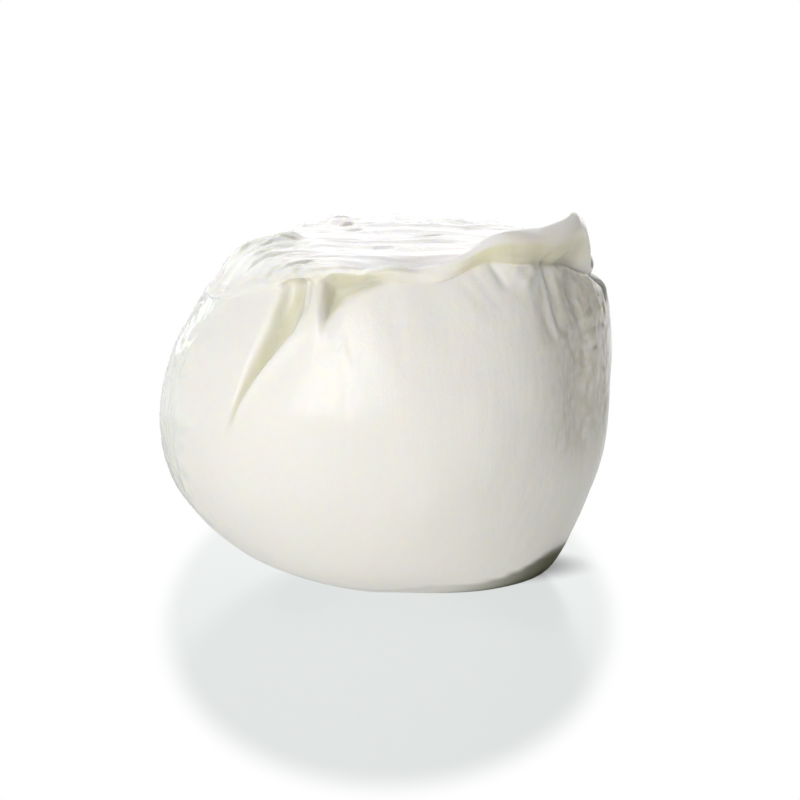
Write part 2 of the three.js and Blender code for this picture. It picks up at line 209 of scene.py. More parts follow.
# folds of the torn top: how far each rises, its width in front of and behind its line in mm,
# and the line itself, from left to right, as x and y
topFolds = {
    "raised skin": (1.0, (1.6, 3.6), ((-15.6, 0.5), (-14, 2.5), (-12.2, 4))),
    "front of the raised skin": (-0.8, (2.4, 1.2), ((-16.4, -5.5), (-14, -4), (-12, -1.5))),
    "shoulder fold": (0.9, (1.1, 1.3), ((-26, -1), (-22, 0.5), (-17, 1.5))),
    "shoulder groove": (-0.8, (0.9, 0.8), ((-26, -4.6), (-21, -4), (-16, -3.4))),
    "front ridge": (0.6, (0.9, 1.2), ((-23, -8.5), (-19, -8.2), (-13, -7.6))),
    "front groove": (-0.5, (0.9, 0.7), ((-22, -11.4), (-17, -11.6), (-11, -11.8))),
    "far pit": (-0.8, (1.0, 0.5), ((-6.8, 18.6), (-4.2, 19))),
    "pit 1": (-0.5, (0.8, 0.4), ((-6.4, 13.4), (-5, 13.6))),
    "pit 2": (-0.5, (0.8, 0.4), ((-5.4, 8.2), (-3.6, 8.6))),
    "pit 3": (-0.4, (1.0, 0.5), ((-1.6, -5.2), (1.8, -4.6))),
    "pit 4": (-0.4, (1.0, 0.5), ((-12.4, -17.5), (-9.4, -17))),
    "pit 5": (-0.4, (1.0, 0.5), ((5, 3.2), (7.6, 3.8))),
    "behind the lip": (-1.0, (2.6, 3.6), ((-3, -20), (4, -17), (9.5, -12.5))),
    "long ridge 1": (0.2, (0.9, 0.6), ((-12, -14.2), (-4, -12.6), (4, -13.4))),
    "long ridge 2": (0.22, (1.0, 0.6), ((-9, -2), (0, -0.6), (9, -2.2), (15, -1.6))),
    "long ridge 3": (0.2, (1.2, 0.7), ((-8, 5.6), (1, 7.4), (12, 6.6))),
    "long ridge 4": (0.2, (1.4, 0.8), ((-3, 13.6), (6, 12.6), (15, 13.6))),
}

# how far past its width a fold still counts, and the shares of its line where it fades in and out
foldFade = {"past": 2.5, "in": (-0.3, 0.15), "out": (0.55, 1)}


# blends four values, one for each side, round the ball
def blendSides(azimuth, sides, item):
    c, s = np.cos(np.radians(azimuth)), np.sin(np.radians(azimuth))
    alongX = c * c * np.where(c > 0, sides["right"][item], sides["left"][item])
    alongY = s * s * np.where(s > 0, sides["back"][item], sides["front"][item])
    return alongX + alongY


# reach and height of every ring at these azimuths, with the lip's own shape worked in
def ringsAt(azimuth, shape):
    angle = np.radians(azimuth)
    reach = {name: blendSides(azimuth, ballRings[name], 0) for name in ringNames}
    height = {name: blendSides(azimuth, ballRings[name], 1) for name in ringNames}

    def add(to, shares, amount):
        for name, share in shares.items():
            to[name] = to[name] + share * amount

    # the notch is sharp beside the tongue, and a hollow runs out of it under the lip
    notch, hollow = shape["notch"], shape["hollow"]
    sharpSide = smooth(notch["azimuth"] - notch["sharpness"], notch["azimuth"], azimuth)
    notchHere = sharpSide * np.exp(-np.maximum(azimuth - notch["azimuth"], 0) / notch["runOut"])
    hollowHere = sharpSide * (1 - smooth(hollow["full"], hollow["end"], azimuth))
    add(height, shape["notchShares"], -notch["drop"] * notchHere)
    add(height, {"tuck": 1}, -hollow["drop"] * hollowHere)
    add(reach, {"brow": hollow["browOut"], "tuck": -hollow["depth"]}, hollowHere)

    # left of the notch, and before the flap, the side runs straight up into the lip
    for zone in (shape["closed"], shape["flush"]):
        add(reach, {"tuck": zone["tuckOut"], "lipUnder": zone["underOut"]}, stretch(zone, azimuth))
    add(height, shape["flushShares"], stretch(shape["flush"], azimuth))

    # the flap is the raised part of the lip, on its band of skin, and ends in the peak
    flap, extra, band, peak = shape["flap"], shape["flapExtra"], shape["band"], shape["peak"]
    slope, gap = shape["flapSlope"], shape["gap"]
    flapHere, bandHere = stretch(flap, azimuth), stretch(band, azimuth)
    flapRise = flap["rise"] + extra["rise"] * smooth(extra["start"], extra["full"], azimuth)
    peakHere = bump(peak["azimuth"], peak["halfWidth"], azimuth)
    add(height, shape["flapShares"], flapRise * flapHere + peak["rise"] * peakHere)
    add(height, shape["bandShares"], band["rise"] * bandHere)
    add(reach, shape["flapThicken"], flapHere)
    add(reach, {"lipTop": -slope["back"]}, bump(slope["azimuth"], slope["halfWidth"], azimuth))
    add(reach, {"brow": -band["tuckIn"], "tuck": -band["tuckIn"]}, bandHere)
    add(reach, shape["gapShares"], bump(gap["azimuth"], gap["halfWidth"], azimuth))

    # the lip dips and spreads over the left lobe
    lobe = shape["lobe"]
    lobeHere = bump(lobe["azimuth"], lobe["halfWidth"], azimuth)
    add(height, shape["lobeShares"], -lobe["dip"] * lobeHere)
    add(reach, shape["lobeShares"], lobe["spread"] * lobeHere)

    # the torn edge is never straight
    far = bump(0, tornEdge["farHalfWidth"], turnBetween(azimuth, 90))
    add(height, tornEdge["shares"], waving(angle, tornEdge["up"]))
    add(reach, tornEdge["shares"], waving(angle, tornEdge["out"]))
    fine = 1 - tornEdge["calm"] * np.maximum(flapHere, stretch(shape["flush"], azimuth))
    add(height, tornEdge["fineShares"], fine * waving(angle, tornEdge["fineUp"]))
    add(reach, tornEdge["fineShares"], fine * waving(angle, tornEdge["fineOut"]))
    add(height, tornEdge["farShares"], far * waving(angle, tornEdge["farUp"]))

    none = np.zeros_like(azimuth)
    return (np.array([none, *reach.values(), none]),
            np.array([none, *height.values(), none + shape["plateCentreHeight"]]))


# follows the smooth curve that runs up through the rings, row by row
def throughRings(stations, rows):
    last = len(stations) - 1
    points = []
    for line, row in enumerate(rows):
        span = min(int(row), last - 1)
        t = row - span
        before, start, end, after = (stations[np.clip(span + step, 0, last)][line] for step in (-1, 0, 1, 2))
        points.append(0.5 * (2 * start + (end - before) * t
                             + (2 * before - 5 * start + 4 * end - after) * t ** 2
                             + (3 * start - before - 3 * end + after) * t ** 3))
    return np.array(points)


# a line with its corners cut twice
def rounded(line):
    for _ in range(2):
        early, late = 0.75 * line[:-1] + 0.25 * line[1:], 0.25 * line[:-1] + 0.75 * line[1:]
        between = np.stack([early, late], axis=1).reshape(-1, 2)
        line = np.concatenate([line[:1], between[1:-1], line[-1:]])
    return line


# how far each point of a flat map of the skin is raised by the folds: each is highest on its line
def foldRelief(across, up, folds, scale):
    relief = np.zeros_like(across)
    for rise, widths, line in folds.values():
        line = rounded(np.array(line, float) * scale)
        past = foldFade["past"] * max(widths)
        low, high = line.min(axis=0) - past, line.max(axis=0) + past
        near = (across > low[0]) & (across < high[0]) & (up > low[1]) & (up < high[1])
        place = np.stack([across[near], up[near]], axis=-1)
        steps = np.diff(line, axis=0)
        lengths = np.hypot(*steps.T)
        passed = np.concatenate([[0], np.cumsum(lengths)]) / lengths.sum()
        nearest, along, side = np.full(len(place), np.inf), np.zeros(len(place)), np.zeros(len(place))
        for number, step in enumerate(steps):
            share = np.clip((place - line[number]) @ step / (step @ step), 0, 1)
            offset = place - line[number] - share[:, None] * step
            distance = np.hypot(*offset.T)
            closer = distance < nearest
            nearest = np.where(closer, distance, nearest)
            along = np.where(closer, passed[number] + share * (passed[number + 1] - passed[number]), along)
            side = np.where(closer, step[0] * offset[:, 1] - step[1] * offset[:, 0], side)
        width = np.where(side > 0, widths[1], widths[0])
        strength = smooth(*foldFade["in"], along) * (1 - smooth(*foldFade["out"], along))
        relief[near] += rise * strength * bump(0, width, nearest)
    return relief


# where the slit is open, and the azimuths of its left edge and of its crease
def slitAt(height, shape):
    slit = shape["slit"]
    fall = np.clip((slit["top"] - height) / slit["length"], 0, 1)
    leftEdge = slit["left"] + slit["leftDrift"] * fall ** slit["leftPower"]
    crease = np.minimum(slit["right"] + slit["rightDrift"] * fall ** slit["rightPower"], slit["farthest"])
    return fall, leftEdge, np.maximum(crease, leftEdge + slit["narrowest"])


# how far the skin stands out from the lofted side, or in where negative
def sideRelief(azimuth, row, height, shape):
    angle = np.radians(azimuth)
    slit = shape["slit"]
    onSide = smooth(level["heel"], level["belly"], row)
    onSide = onSide * (1 - smooth(level["tuck"] + 0.7, level["lipRim"] - 0.1, row))
    relief = sum(size * np.sin(count * angle + start + height / rise)
                 for count, start, rise, size in shape["sideSwells"])

    # the slit's left side slopes down to the crease, and its right side rises steeply from it
    fall, leftEdge, crease = slitAt(height, shape)
    wall = slit["wall"] * (slit["wallTaper"] - fall)
    rightSlope = wall + slit["topWall"] * smooth(*slit["topWallFrom"], fall)
    sunk = smooth(*slit["leftSlope"], (azimuth - leftEdge) / (crease - leftEdge))
    sunk = sunk * (1 - smooth(0, rightSlope, azimuth - crease))
    depth = slit["topDepth"] + (slit["depth"] - slit["topDepth"]) * smooth(0, slit["deepAt"], fall)
    relief -= depth * smooth(1, slit["shallowFrom"], fall) * sunk
    crest = bump(slit["crest"] * wall, wall, azimuth - crease)
    relief += slit["proud"] * smooth(1, slit["flatFrom"], fall) * crest

    skinScale = shape["skinReach"] * np.radians(1)
    return (relief + foldRelief(azimuth * skinScale, height, sideFolds, (skinScale, 1))) * onSide


# how far the torn top stands up from the lofted plate, or down where negative
def topRelief(azimuth, row, reach, shape):
    angle = np.radians(azimuth)
    x, y = reach * np.cos(angle), reach * np.sin(angle)
    onTop = smooth(level["lipTop"] - 0.4, level["lipTop"] + 0.6, row)
    ripple, swell = shape["topRipple"], shape["topSwell"]
    sway = ripple["sway"] * np.sin(x / ripple["swayAcross"])
    relief = ripple["size"] * np.sin(y / ripple["spacing"] + sway)
    relief += swell["size"] * np.sin(x / swell["across"] + y / swell["along"])
    return (relief + foldRelief(x, y, topFolds, (1, 1))) * onTop


# the columns stand closer together at the front, and lean along the slit beside it
def columnAzimuths(shape, rows):
    fine = np.linspace(-270, 90, 3601)
    crowded = np.cumsum(1 + shape["crowd"]["extra"] * stretch(shape["crowd"], fine))
    share = (crowded - crowded[0]) / (crowded[-1] - crowded[0])
    upright = np.interp(np.arange(shape["columns"]) / shape["columns"], share, fine)
    lean = shape["lean"]
    top = level["brow"] + 0.3
    down = np.clip((top - rows) / (top - level["belly"]), 0, 1) ** lean["power"]
    shift = lean["shift"] * down * smooth(level["footEdge"], level["belly"], rows)
    besideSlit = smooth(lean["outer"], lean["inner"], np.abs(turnBetween(lean["azimuth"], upright)))
    return (upright + shift[:, None] * besideSlit + 270) % 360 - 270


def ballPoints(shape):
    counts = shape["rowsInSpan"]
    rows = np.array([span + step / count for span, count in enumerate(counts) for step in range(count)]
                    + [len(counts)])
    azimuth = columnAzimuths(shape, rows)
    row = np.broadcast_to(rows[:, None], azimuth.shape)
    reaches, heights = ringsAt(azimuth, shape)
    reach, height = throughRings(reaches, rows), throughRings(heights, rows)
    reach = np.maximum(reach + sideRelief(azimuth, row, height, shape), 0)
    height = np.maximum(height + topRelief(azimuth, row, reach, shape), 0)
    angle = np.radians(azimuth)
    x = shape["axis"][0] + reach * np.cos(angle)
    y = shape["axis"][1] + reach * np.sin(angle)
    return azimuth, row, np.stack([x, y, height], axis=-1)


# the way the skin faces at every point of the grid
def facing(points):
    along = np.roll(points, -1, axis=1) - np.roll(points, 1, axis=1)
    upwards = np.gradient(points, axis=0)
    outwards = np.cross(along, upwards)
    return outwards / np.maximum(np.linalg.norm(outwards, axis=-1, keepdims=True), 1e-9)


# how deep each point lies under the skin round it, in mm
def hollowness(points, passes):
    evened = points.copy()
    for _ in range(passes):
        beside = np.roll(evened, 1, axis=1) + np.roll(evened, -1, axis=1)
        evened[1:-1] = 0.25 * (evened[:-2] + evened[2:] + beside[1:-1])
    return np.sum((evened - points) * facing(points), axis=-1)


# one mesh from the grid of points: the first and last rows are single points
def gridMesh(name, points, attributes):
    rows, columns = points.shape[:2]
    place = np.arange((rows - 2) * columns).reshape(rows - 2, columns) + 1
    ahead = np.roll(place, -1, axis=1)
    top = (rows - 2) * columns + 1
    quads = np.stack([place[:-1], ahead[:-1], ahead[1:], place[1:]], axis=-1).reshape(-1, 4)
    bottomFan = [(0, b, a) for a, b in zip(place[0], ahead[0])]
    topFan = [(top, a, b) for a, b in zip(place[-1], ahead[-1])]

    def flat(grid):
        return np.concatenate([grid[0, :1], grid[1:-1].reshape(-1, *grid.shape[2:]), grid[-1, :1]])

    mesh = bpy.data.meshes.new(name)
    faces = [tuple(map(int, corners)) for corners in (*bottomFan, *quads, *topFan)]
    mesh.from_pydata((flat(points) * mm).tolist(), [], faces)
    for label, values in attributes.items():
        layer = mesh.attributes.new(label, "FLOAT", "POINT")
        layer.data.foreach_set("value", flat(values).astype(np.float32))
    mesh.update()
    return mesh


azimuth, row, points = ballPoints(ballShape)
x, y, height = (points[..., axis] for axis in range(3))

# where each kind of skin lies: azimuths in degrees, heights and reaches on the plate in mm
skinZones = {
    "wet side": {"start": -250, "full": -226, "fall": -156, "end": -151},  # torn, wet and ragged
    # the wet side's edge is ragged: waves in degrees, mm of height for one radian, and starts
    "wet edge": ((2, 3.1, 0), (2, 1.3, 1), (1.5, 0.55, 0)),
    "wet foot": (5, 15),
    "wet under the lip": 0.3,
    "wet plate": (-8.0, -15.0),
    "wet plate edge": ((2, 2.7), (1.2, 0.9)),
    "wet thickness": 0.28,
    "torn": (1, 6),
    "streaks": {"start": -116, "full": -108, "fall": -99, "end": -94},  # wet streaks beside the slit
    "streak heights": {"start": 22, "full": 29, "fall": 38, "end": 43},
    "wrinklesAndShade": {"start": -54, "full": -30, "fall": -18, "end": -6},  # puckered skin on the right, whose colour is darkened there as painted shade
    "wrinkle heights": {"start": 16, "full": 27, "fall": 44, "end": 48},
    "under the lip": {"start": -112, "full": -106, "fall": -94, "end": -78},
    "flap face": {"start": -75, "full": -62, "fall": -26, "end": -17},
    # painted light: the rim over the flap takes the top's paler colour
    "painted light rim": {"start": -90, "full": -74, "fall": -6, "end": 2},
    "glossy side": {"start": -50, "full": -10, "fall": 170, "end": 200},
    # how high the painted shade on the foot reaches and how dark it is: all round, and more on these sides
    "foot": {"height": 1.6, "dark": 0.15},
    "front foot": {"start": -105, "full": -70, "fall": 30, "end": 90, "higher": 1.3, "darker": 0.05},
    "right foot": {"start": -70, "full": -24, "fall": 40, "end": 90, "higher": 4.0, "darker": 0.8},
    "left foot": {"start": -200, "full": -165, "fall": -135, "end": -105, "higher": 1.4, "darker": 0.35},
    "foot edge": 0.75,  # share of its height where it begins to fade
    "foot steepness": 3,  # how late it rises towards the middle of each side
    # painted shadow in the gap under the end of the flap
    "gap": {"azimuth": -2, "halfWidth": 6, "lean": -0.8, "height": 42.9, "halfHeight": 2.4},
    # shares of the slit's width and length where it has the whey tint and painted shade, how far past the
    # crease, in degrees, and how much paler it is beside the lip
    "slit": {"across": (-0.1, 0.4), "end": (1.02, 0.8), "past": 2.5, "pastMore": 4, "pastFrom": (0.3, 0),
             "paler": 0.5, "palerFrom": (0.15, 0.04)},
    "tongue": {"azimuth": -114, "halfWidth": 4.5, "soakedAndShaded": 0.5},
    "notch": {"beside": 1, "halfWidth": 4},
    "lip soaked": 0.9,
    # painted shade in hollows, with a whey tint: how often the skin is evened, and the depths in mm over
    # which it darkens
    "hollow": {"passes": 60, "depth": (0.05, 0.5), "calm": 0.8},
    "streak gloss": 0.3,
    "side gloss": 0.8,
}


def inRows(first, full, fall, end):
    return smooth(first, full, row) * (1 - smooth(fall, end, row))


brow, tuck = level["brow"], level["tuck"]
lipUnder, lipRim, lipTop = level["lipUnder"], level["lipRim"], level["lipTop"]
onPlate = smooth(lipTop - 0.3, lipTop + 0.7, row)
torn = onPlate * smooth(*skinZones["torn"], np.hypot(x, y))
onSide = inRows(level["heel"] - 0.5, level["heel"] + 0.8, brow, tuck)
ragged = sum(size * np.sin(height / rise + start) for size, rise, start in skinZones["wet edge"])
wetSide = stretch(skinZones["wet side"], azimuth - ragged) * smooth(*skinZones["wet foot"], height)
wetSide = wetSide * (1 - (1 - skinZones["wet under the lip"]) * inRows(brow, tuck, lipRim, lipTop))
wetBorder = x + sum(size * np.sin(y / along) for size, along in skinZones["wet plate edge"])
wetPlate = smooth(*skinZones["wet plate"], wetBorder)
wetSkin = np.maximum(wetSide * (1 - onPlate), wetPlate * onPlate)
points = points + (skinZones["wet thickness"] * wetSkin * (1 - onPlate))[..., None] * facing(points)
streaks = stretch(skinZones["streaks"], azimuth) * stretch(skinZones["streak heights"], height)
wrinklesAndShade = stretch(skinZones["wrinklesAndShade"], azimuth) * stretch(skinZones["wrinkle heights"], height) * onSide

# creases and hollows keep a whey tint, darkened as painted shade, and the foot and the gap under the flap
# are painted dark as painted shade
fall, leftEdge, crease = slitAt(height, ballShape)
slit, tongue, notch = skinZones["slit"], skinZones["tongue"], skinZones["notch"]
inSlit = smooth(*slit["across"], (azimuth - leftEdge) / (crease - leftEdge))
pastCrease = slit["past"] + slit["pastMore"] * smooth(*slit["pastFrom"], fall)
inSlit = inSlit * (1 - smooth(0, pastCrease, azimuth - crease))
inSlit = inSlit * (1 - slit["paler"] * smooth(*slit["palerFrom"], fall))
inSlit = inSlit * smooth(*slit["end"], fall) * inRows(level["belly"] - 1, level["flank"], lipRim, lipTop)
tongueTop = bump(tongue["azimuth"], tongue["halfWidth"], azimuth)
tongueTop = tongue["soakedAndShaded"] * tongueTop * inRows(brow - 1.5, brow, lipUnder, lipRim)
notchHere = bump(ballShape["notch"]["azimuth"] + notch["beside"], notch["halfWidth"], azimuth)
notchHere = notchHere * inRows(brow - 0.5, brow, lipUnder, lipRim)
# the recess under the lip and the flap's face, which faces down, are darkened too, as painted shade
underLip = stretch(skinZones["under the lip"], azimuth) * inRows(brow - 0.3, tuck, lipUnder, lipRim)
flapFace = stretch(skinZones["flap face"], azimuth)
flapFace = flapFace * inRows(brow + 0.2, tuck + 0.2, lipRim - 0.35, lipRim + 0.15)
# painted light on the rim over the flap
paintedLightRim = stretch(skinZones["painted light rim"], azimuth) * smooth(lipRim - 0.2, lipRim + 0.5, row)
soakedAndShaded = np.maximum.reduce([inSlit, notchHere, tongueTop, skinZones["lip soaked"] * underLip, flapFace])
# painted shade: darker where the skin lies deeper than the skin round it
pit = skinZones["hollow"]
hollow = smooth(*pit["depth"], hollowness(points, pit["passes"]))
hollow = hollow * (1 - pit["calm"] * stretch(ballShape["flush"], azimuth))
# painted shade on the foot, where it turns under towards the table
footHeight, paintedFootShade = skinZones["foot"]["height"], skinZones["foot"]["dark"]
for zone in (skinZones["front foot"], skinZones["right foot"], skinZones["left foot"]):
    footHeight = footHeight + zone["higher"] * stretch(zone, azimuth) ** skinZones["foot steepness"]
    paintedFootShade = paintedFootShade + zone["darker"] * stretch(zone, azimuth)
foot = paintedFootShade * (1 - smooth(skinZones["foot edge"] * footHeight, footHeight, height))
# painted shadow in the gap under the end of the flap, laid on with the foot's colour
gap = skinZones["gap"]
inGap = bump(gap["azimuth"] + gap["lean"] * (gap["height"] - height), gap["halfWidth"], azimuth)
foot = np.maximum(foot, inGap * bump(gap["height"], gap["halfHeight"], height))
glossySide = skinZones["side gloss"] * stretch(skinZones["glossy side"], azimuth)
glossy = np.maximum.reduce([onPlate, paintedLightRim, wetSkin, skinZones["streak gloss"] * streaks, glossySide])
glossy = glossy * (1 - foot)

# the plate mask also carries the painted light on the rim over the flap
ballMesh = gridMesh(ballNode, points, {
    "plate": np.maximum(onPlate, paintedLightRim), "torn": torn, "side": onSide, "wetSkin": wetSkin,
    "streaks": streaks, "wrinklesAndShade": wrinklesAndShade, "soakedAndShaded": soakedAndShaded, "hollow": hollow, "foot": foot,
    "glossy": glossy,
})
ball = bpy.data.objects.new("curd_ball", ballMesh)
scene.collection.objects.link(ball)
print("ball lofted:", len(ballMesh.polygons), "faces")


# a node tree with its sockets and nodes made in one call each
class Tree:
    def __init__(self, name, kind):
        self.tree = bpy.data.node_groups.new(name, kind)

    def socket(self, name, side, kind, value=None):
        made = self.tree.interface.new_socket(name=name, in_out=side, socket_type=kind)
        if value is not None:
            made.default_value = value
        return made

    def add(self, kind, inputs=None, **settings):
        node = self.tree.nodes.new(kind)
        for key, value in settings.items():
            setattr(node, key, value)
        for key, value in (inputs or {}).items():
            if isinstance(value, bpy.types.NodeSocket):
                self.tree.links.new(value, node.inputs[key])
            else:
                node.inputs[key].default_value = value
        return node

    def math(self, operation, first, second=0.0):
        return self.add("ShaderNodeMath", {0: first, 1: second}, operation=operation).outputs[0]


reliefNoise = {"apart": 7.3, "detail": 2.0, "distortion": 0.4, "ridgeHeight": 0.1}

# sizes in mm: how deep the relief is, and how many waves there are along x, y and z in each mm
skinRelief = {
    "fibre": {"depth": 0.05, "waves": (0.55, 0.55, 0.07), "on": "side", "ridged": False},
    "lump": {"depth": 0.30, "waves": (0.11, 0.11, 0.09), "on": "side", "ridged": False},
    "ridge": {"depth": 0.13, "waves": (0.07, 0.45, 0.45), "on": "torn", "ridged": False},
    "fine ridge": {"depth": 0.13, "waves": (0.2, 0.8, 0.8), "on": "torn", "ridged": False},
    "rag": {"depth": 0.45, "waves": (0.42, 0.30, 0.16), "on": "wetSkin", "ridged": True},
    "fine rag": {"depth": 0.22, "waves": (1.0, 0.8, 0.45), "on": "wetSkin", "ridged": True},
    "streak": {"depth": 0.25, "waves": (0.8, 0.8, 0.2), "on": "streaks", "ridged": True},
    "wrinkle": {"depth": 0.65, "waves": (0.45, 0.45, 0.35), "on": "wrinklesAndShade", "ridged": True},
    "fine wrinkle": {"depth": 0.22, "waves": (0.9, 0.9, 0.7), "on": "wrinklesAndShade", "ridged": True},
}


def skinReliefTree(name, kinds):
    made = Tree(name, "GeometryNodeTree")
    made.socket("Geometry", "INPUT", "NodeSocketGeometry")
    for kind, sizes in kinds.items():
        made.socket(kind + " depth", "INPUT", "NodeSocketFloat", sizes["depth"])
    made.socket("Material", "INPUT", "NodeSocketMaterial")
    made.socket("Geometry", "OUTPUT", "NodeSocketGeometry")
    given = made.add("NodeGroupInput")
    position = made.add("GeometryNodeInputPosition").outputs[0]
    total = None
    for number, (kind, sizes) in enumerate(kinds.items()):
        waves = [count / mm for count in sizes["waves"]]
        place = made.add("ShaderNodeVectorMath", {0: position, 1: waves}, operation="MULTIPLY")
        start = (number * reliefNoise["apart"], 0, 0)
        place = made.add("ShaderNodeVectorMath", {0: place.outputs[0], 1: start}, operation="ADD")
        noise = made.add("ShaderNodeTexNoise", {
            "Vector": place.outputs[0], "Scale": 1.0,
            "Detail": reliefNoise["detail"], "Distortion": reliefNoise["distortion"],
        })
        signed = made.math("SUBTRACT", noise.outputs[0], 0.5)
        if sizes["ridged"]:
            signed = made.math("SUBTRACT", reliefNoise["ridgeHeight"], made.math("ABSOLUTE", signed))
        mask = made.add("GeometryNodeInputNamedAttribute", {"Name": sizes["on"]}, data_type="FLOAT")
        deep = made.math("MULTIPLY", signed, given.outputs[kind + " depth"])
        here = made.math("MULTIPLY", deep, mask.outputs[0])
        total = here if total is None else made.math("ADD", total, here)
    inMetres = made.math("MULTIPLY", total, 2 * mm)  # the noise reaches half a unit either way
    normal = made.add("GeometryNodeInputNormal").outputs[0]
    offset = made.add("ShaderNodeVectorMath", {0: normal, "Scale": inMetres}, operation="SCALE").outputs[0]
    moved = made.add("GeometryNodeSetPosition", {"Geometry": given.outputs["Geometry"], "Offset": offset})
    smoothed = made.add("GeometryNodeSetShadeSmooth", {"Geometry": moved.outputs[0]})
    real = made.add("GeometryNodeRealizeInstances", {"Geometry": smoothed.outputs[0]})
    finished = made.add("GeometryNodeSetMaterial",
                        {"Geometry": real.outputs[0], "Material": given.outputs["Material"]})
    made.add("NodeGroupOutput", {"Geometry": finished.outputs[0]})
    return made.tree


# runs a tree on an object and leaves a plain mesh
def applyTree(target, tree, values):
    modifier = target.modifiers.new(tree.name, "NODES")
    modifier.node_group = tree
    identifiers = {item.name: item.identifier for item in tree.interface.items_tree
                   if item.item_type == "SOCKET" and item.in_out == "INPUT"}
    for name, value in values.items():
        modifier[identifiers[name]] = value
    depsgraph = bpy.context.evaluated_depsgraph_get()
    result = bpy.data.meshes.new_from_object(target.evaluated_get(depsgraph))
    target.modifiers.clear()
    target.data = result
    return target


curdLook = {
    "milk": (0.905, 0.883, 0.84),
    # the torn top's colour, also laid on the rim over the flap as painted light
    "plate": (0.93, 0.88, 0.865),
    "wetSkin": (0.87, 0.885, 0.83),
    "wrinklesAndShade": (0.64, 0.61, 0.52),  # painted shade of the shaded right side, in blotches
    # painted shade in hollows, with a whey tint
    "hollow": (0.84, 0.82, 0.71),
    # the whey tint of the creases, darkened as painted shade
    "soakedAndShaded": (0.71, 0.695, 0.55),
    # painted shade on the foot and in the gap under the flap
    "foot": (0.05, 0.055, 0.012),
    "mottled": (0.87, 0.85, 0.76),
    "mottling": 0.12,
    # the shares that the blotches and the stripes let through, and the noise they come from
    "blotches": ((0.3, 0.9), (0.35, 0.65)),
    "stripes": ((0.75, 1), (0.35, 0.6)),
    "softness": 0.0016,  # metres that light travels in the curd
    "scatter": (1.0, 0.85, 0.55),
    "roughness": (0.4, 0.6),  # and what the foot and the glossy skin add to it
    "footRoughness": 0.3,
    "glossyRoughness": -0.15,
    "coat": (0.25, 1.0),  # and what the foot adds to it
    "footCoat": -0.33,
    "coatRoughness": 0.15,
    "grainHeight": 0.0001,  # in metres
    "grainStrength": 0.3,
}

# waves along x, y and z in each mm
curdWaves = {
    "blotches": (0.7, 0.7, 0.6),
    "stripes": (0.5, 0.5, 0.05),
    "mottle": (0.12, 0.12, 0.05),
    "fibres": (1.6, 1.6, 0.16),
    "grain": (3.5, 3.5, 3.5),
    "wetness": (0.25, 0.25, 0.18),
}


def curdMaterial(look):
    material = bpy.data.materials.new("fresh curd")
    material.use_nodes = True
    tree = material.node_tree
    tree.nodes.clear()

    def add(kind, inputs=None, **settings):
        node = tree.nodes.new(kind)
        for key, value in settings.items():
            setattr(node, key, value)
        for key, value in (inputs or {}).items():
            if isinstance(value, bpy.types.NodeSocket):
                tree.links.new(value, node.inputs[key])
            else:
                node.inputs[key].default_value = value
        return node

    def attribute(name):
        return add("ShaderNodeAttribute", attribute_name=name).outputs["Fac"]

    def mix(amount, first, second):
        node = add("ShaderNodeMix", data_type="RGBA")
        for key, value in ((0, amount), (6, first), (7, second)):
            if isinstance(value, bpy.types.NodeSocket):
                tree.links.new(value, node.inputs[key])
            else:
                node.inputs[key].default_value = value if key == 0 else (*value, 1)
        return node.outputs[2]

    def noise(name, detail=3.0):
        scale = [count / mm for count in curdWaves[name]]
        place = add("ShaderNodeMapping", {"Vector": coordinates, "Scale": scale}).outputs[0]
        return add("ShaderNodeTexNoise", {"Vector": place, "Scale": 1.0, "Detail": detail}).outputs[0]

    def between(value, to, taken=(0, 1)):
        ranges = {"From Min": taken[0], "From Max": taken[1], "To Min": to[0], "To Max": to[1]}
        return add("ShaderNodeMapRange", {"Value": value, **ranges}).outputs[0]

    def plus(first, second):
        return add("ShaderNodeMath", {0: first, 1: second}, operation="ADD").outputs[0]

    def times(first, second):
        return add("ShaderNodeMath", {0: first, 1: second}, operation="MULTIPLY").outputs[0]

    coordinates = add("ShaderNodeTexCoord").outputs["Object"]
    uneven = {
        "wrinklesAndShade": between(noise("blotches", 5.0), *look["blotches"]),
        "soakedAndShaded": between(noise("stripes"), *look["stripes"]),
    }
    colour = look["milk"]
    # the blotches of the right side, the hollows, the creases and the foot are darkened here as painted
    # shade, and the rim over the flap is lightened as painted light
    for zone in ("plate", "wetSkin", "wrinklesAndShade", "hollow", "soakedAndShaded", "foot"):
        amount = attribute(zone)
        if zone in uneven:
            amount = times(amount, uneven[zone])
        colour = mix(amount, colour, look[zone])
    colour = mix(between(noise("mottle"), (0, look["mottling"])), colour, look["mottled"])

    glossy, foot = attribute("glossy"), attribute("foot")
    dullness = plus(between(noise("wetness", 2.0), look["roughness"]), times(foot, look["footRoughness"]))
    coated = plus(glossy, times(foot, look["footCoat"]))
    grain = add("ShaderNodeBump", {
        "Strength": look["grainStrength"],
        "Distance": look["grainHeight"],
        "Height": plus(noise("fibres", 4.0), noise("grain")),
    })
    shader = add("ShaderNodeBsdfPrincipled", {
        "Base Color": colour,
        "Roughness": plus(dullness, times(glossy, look["glossyRoughness"])),
        "Subsurface Weight": 1.0,
        "Subsurface Radius": look["scatter"],
        "Subsurface Scale": look["softness"],
        "Specular IOR Level": 0.5,
        "Coat Weight": between(coated, look["coat"]),
        "Coat Roughness": look["coatRoughness"],
        "Normal": grain.outputs[0],
    })
    add("ShaderNodeOutputMaterial", {"Surface": shader.outputs[0]})
    return material


curd = curdMaterial(curdLook)
reliefTree = skinReliefTree("skin relief", skinRelief)
applyTree(ball, reliefTree, {"Material": curd})
# the relief must not push the sole into the table
heights = np.empty(len(ball.data.vertices) * 3)
ball.data.vertices.foreach_get("co", heights)
heights[2::3] = np.maximum(heights[2::3], 0)
ball.data.vertices.foreach_set("co", heights)
ball.data.update()
print("skin relief laid on")

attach(ball, "root")
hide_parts(ballNode)


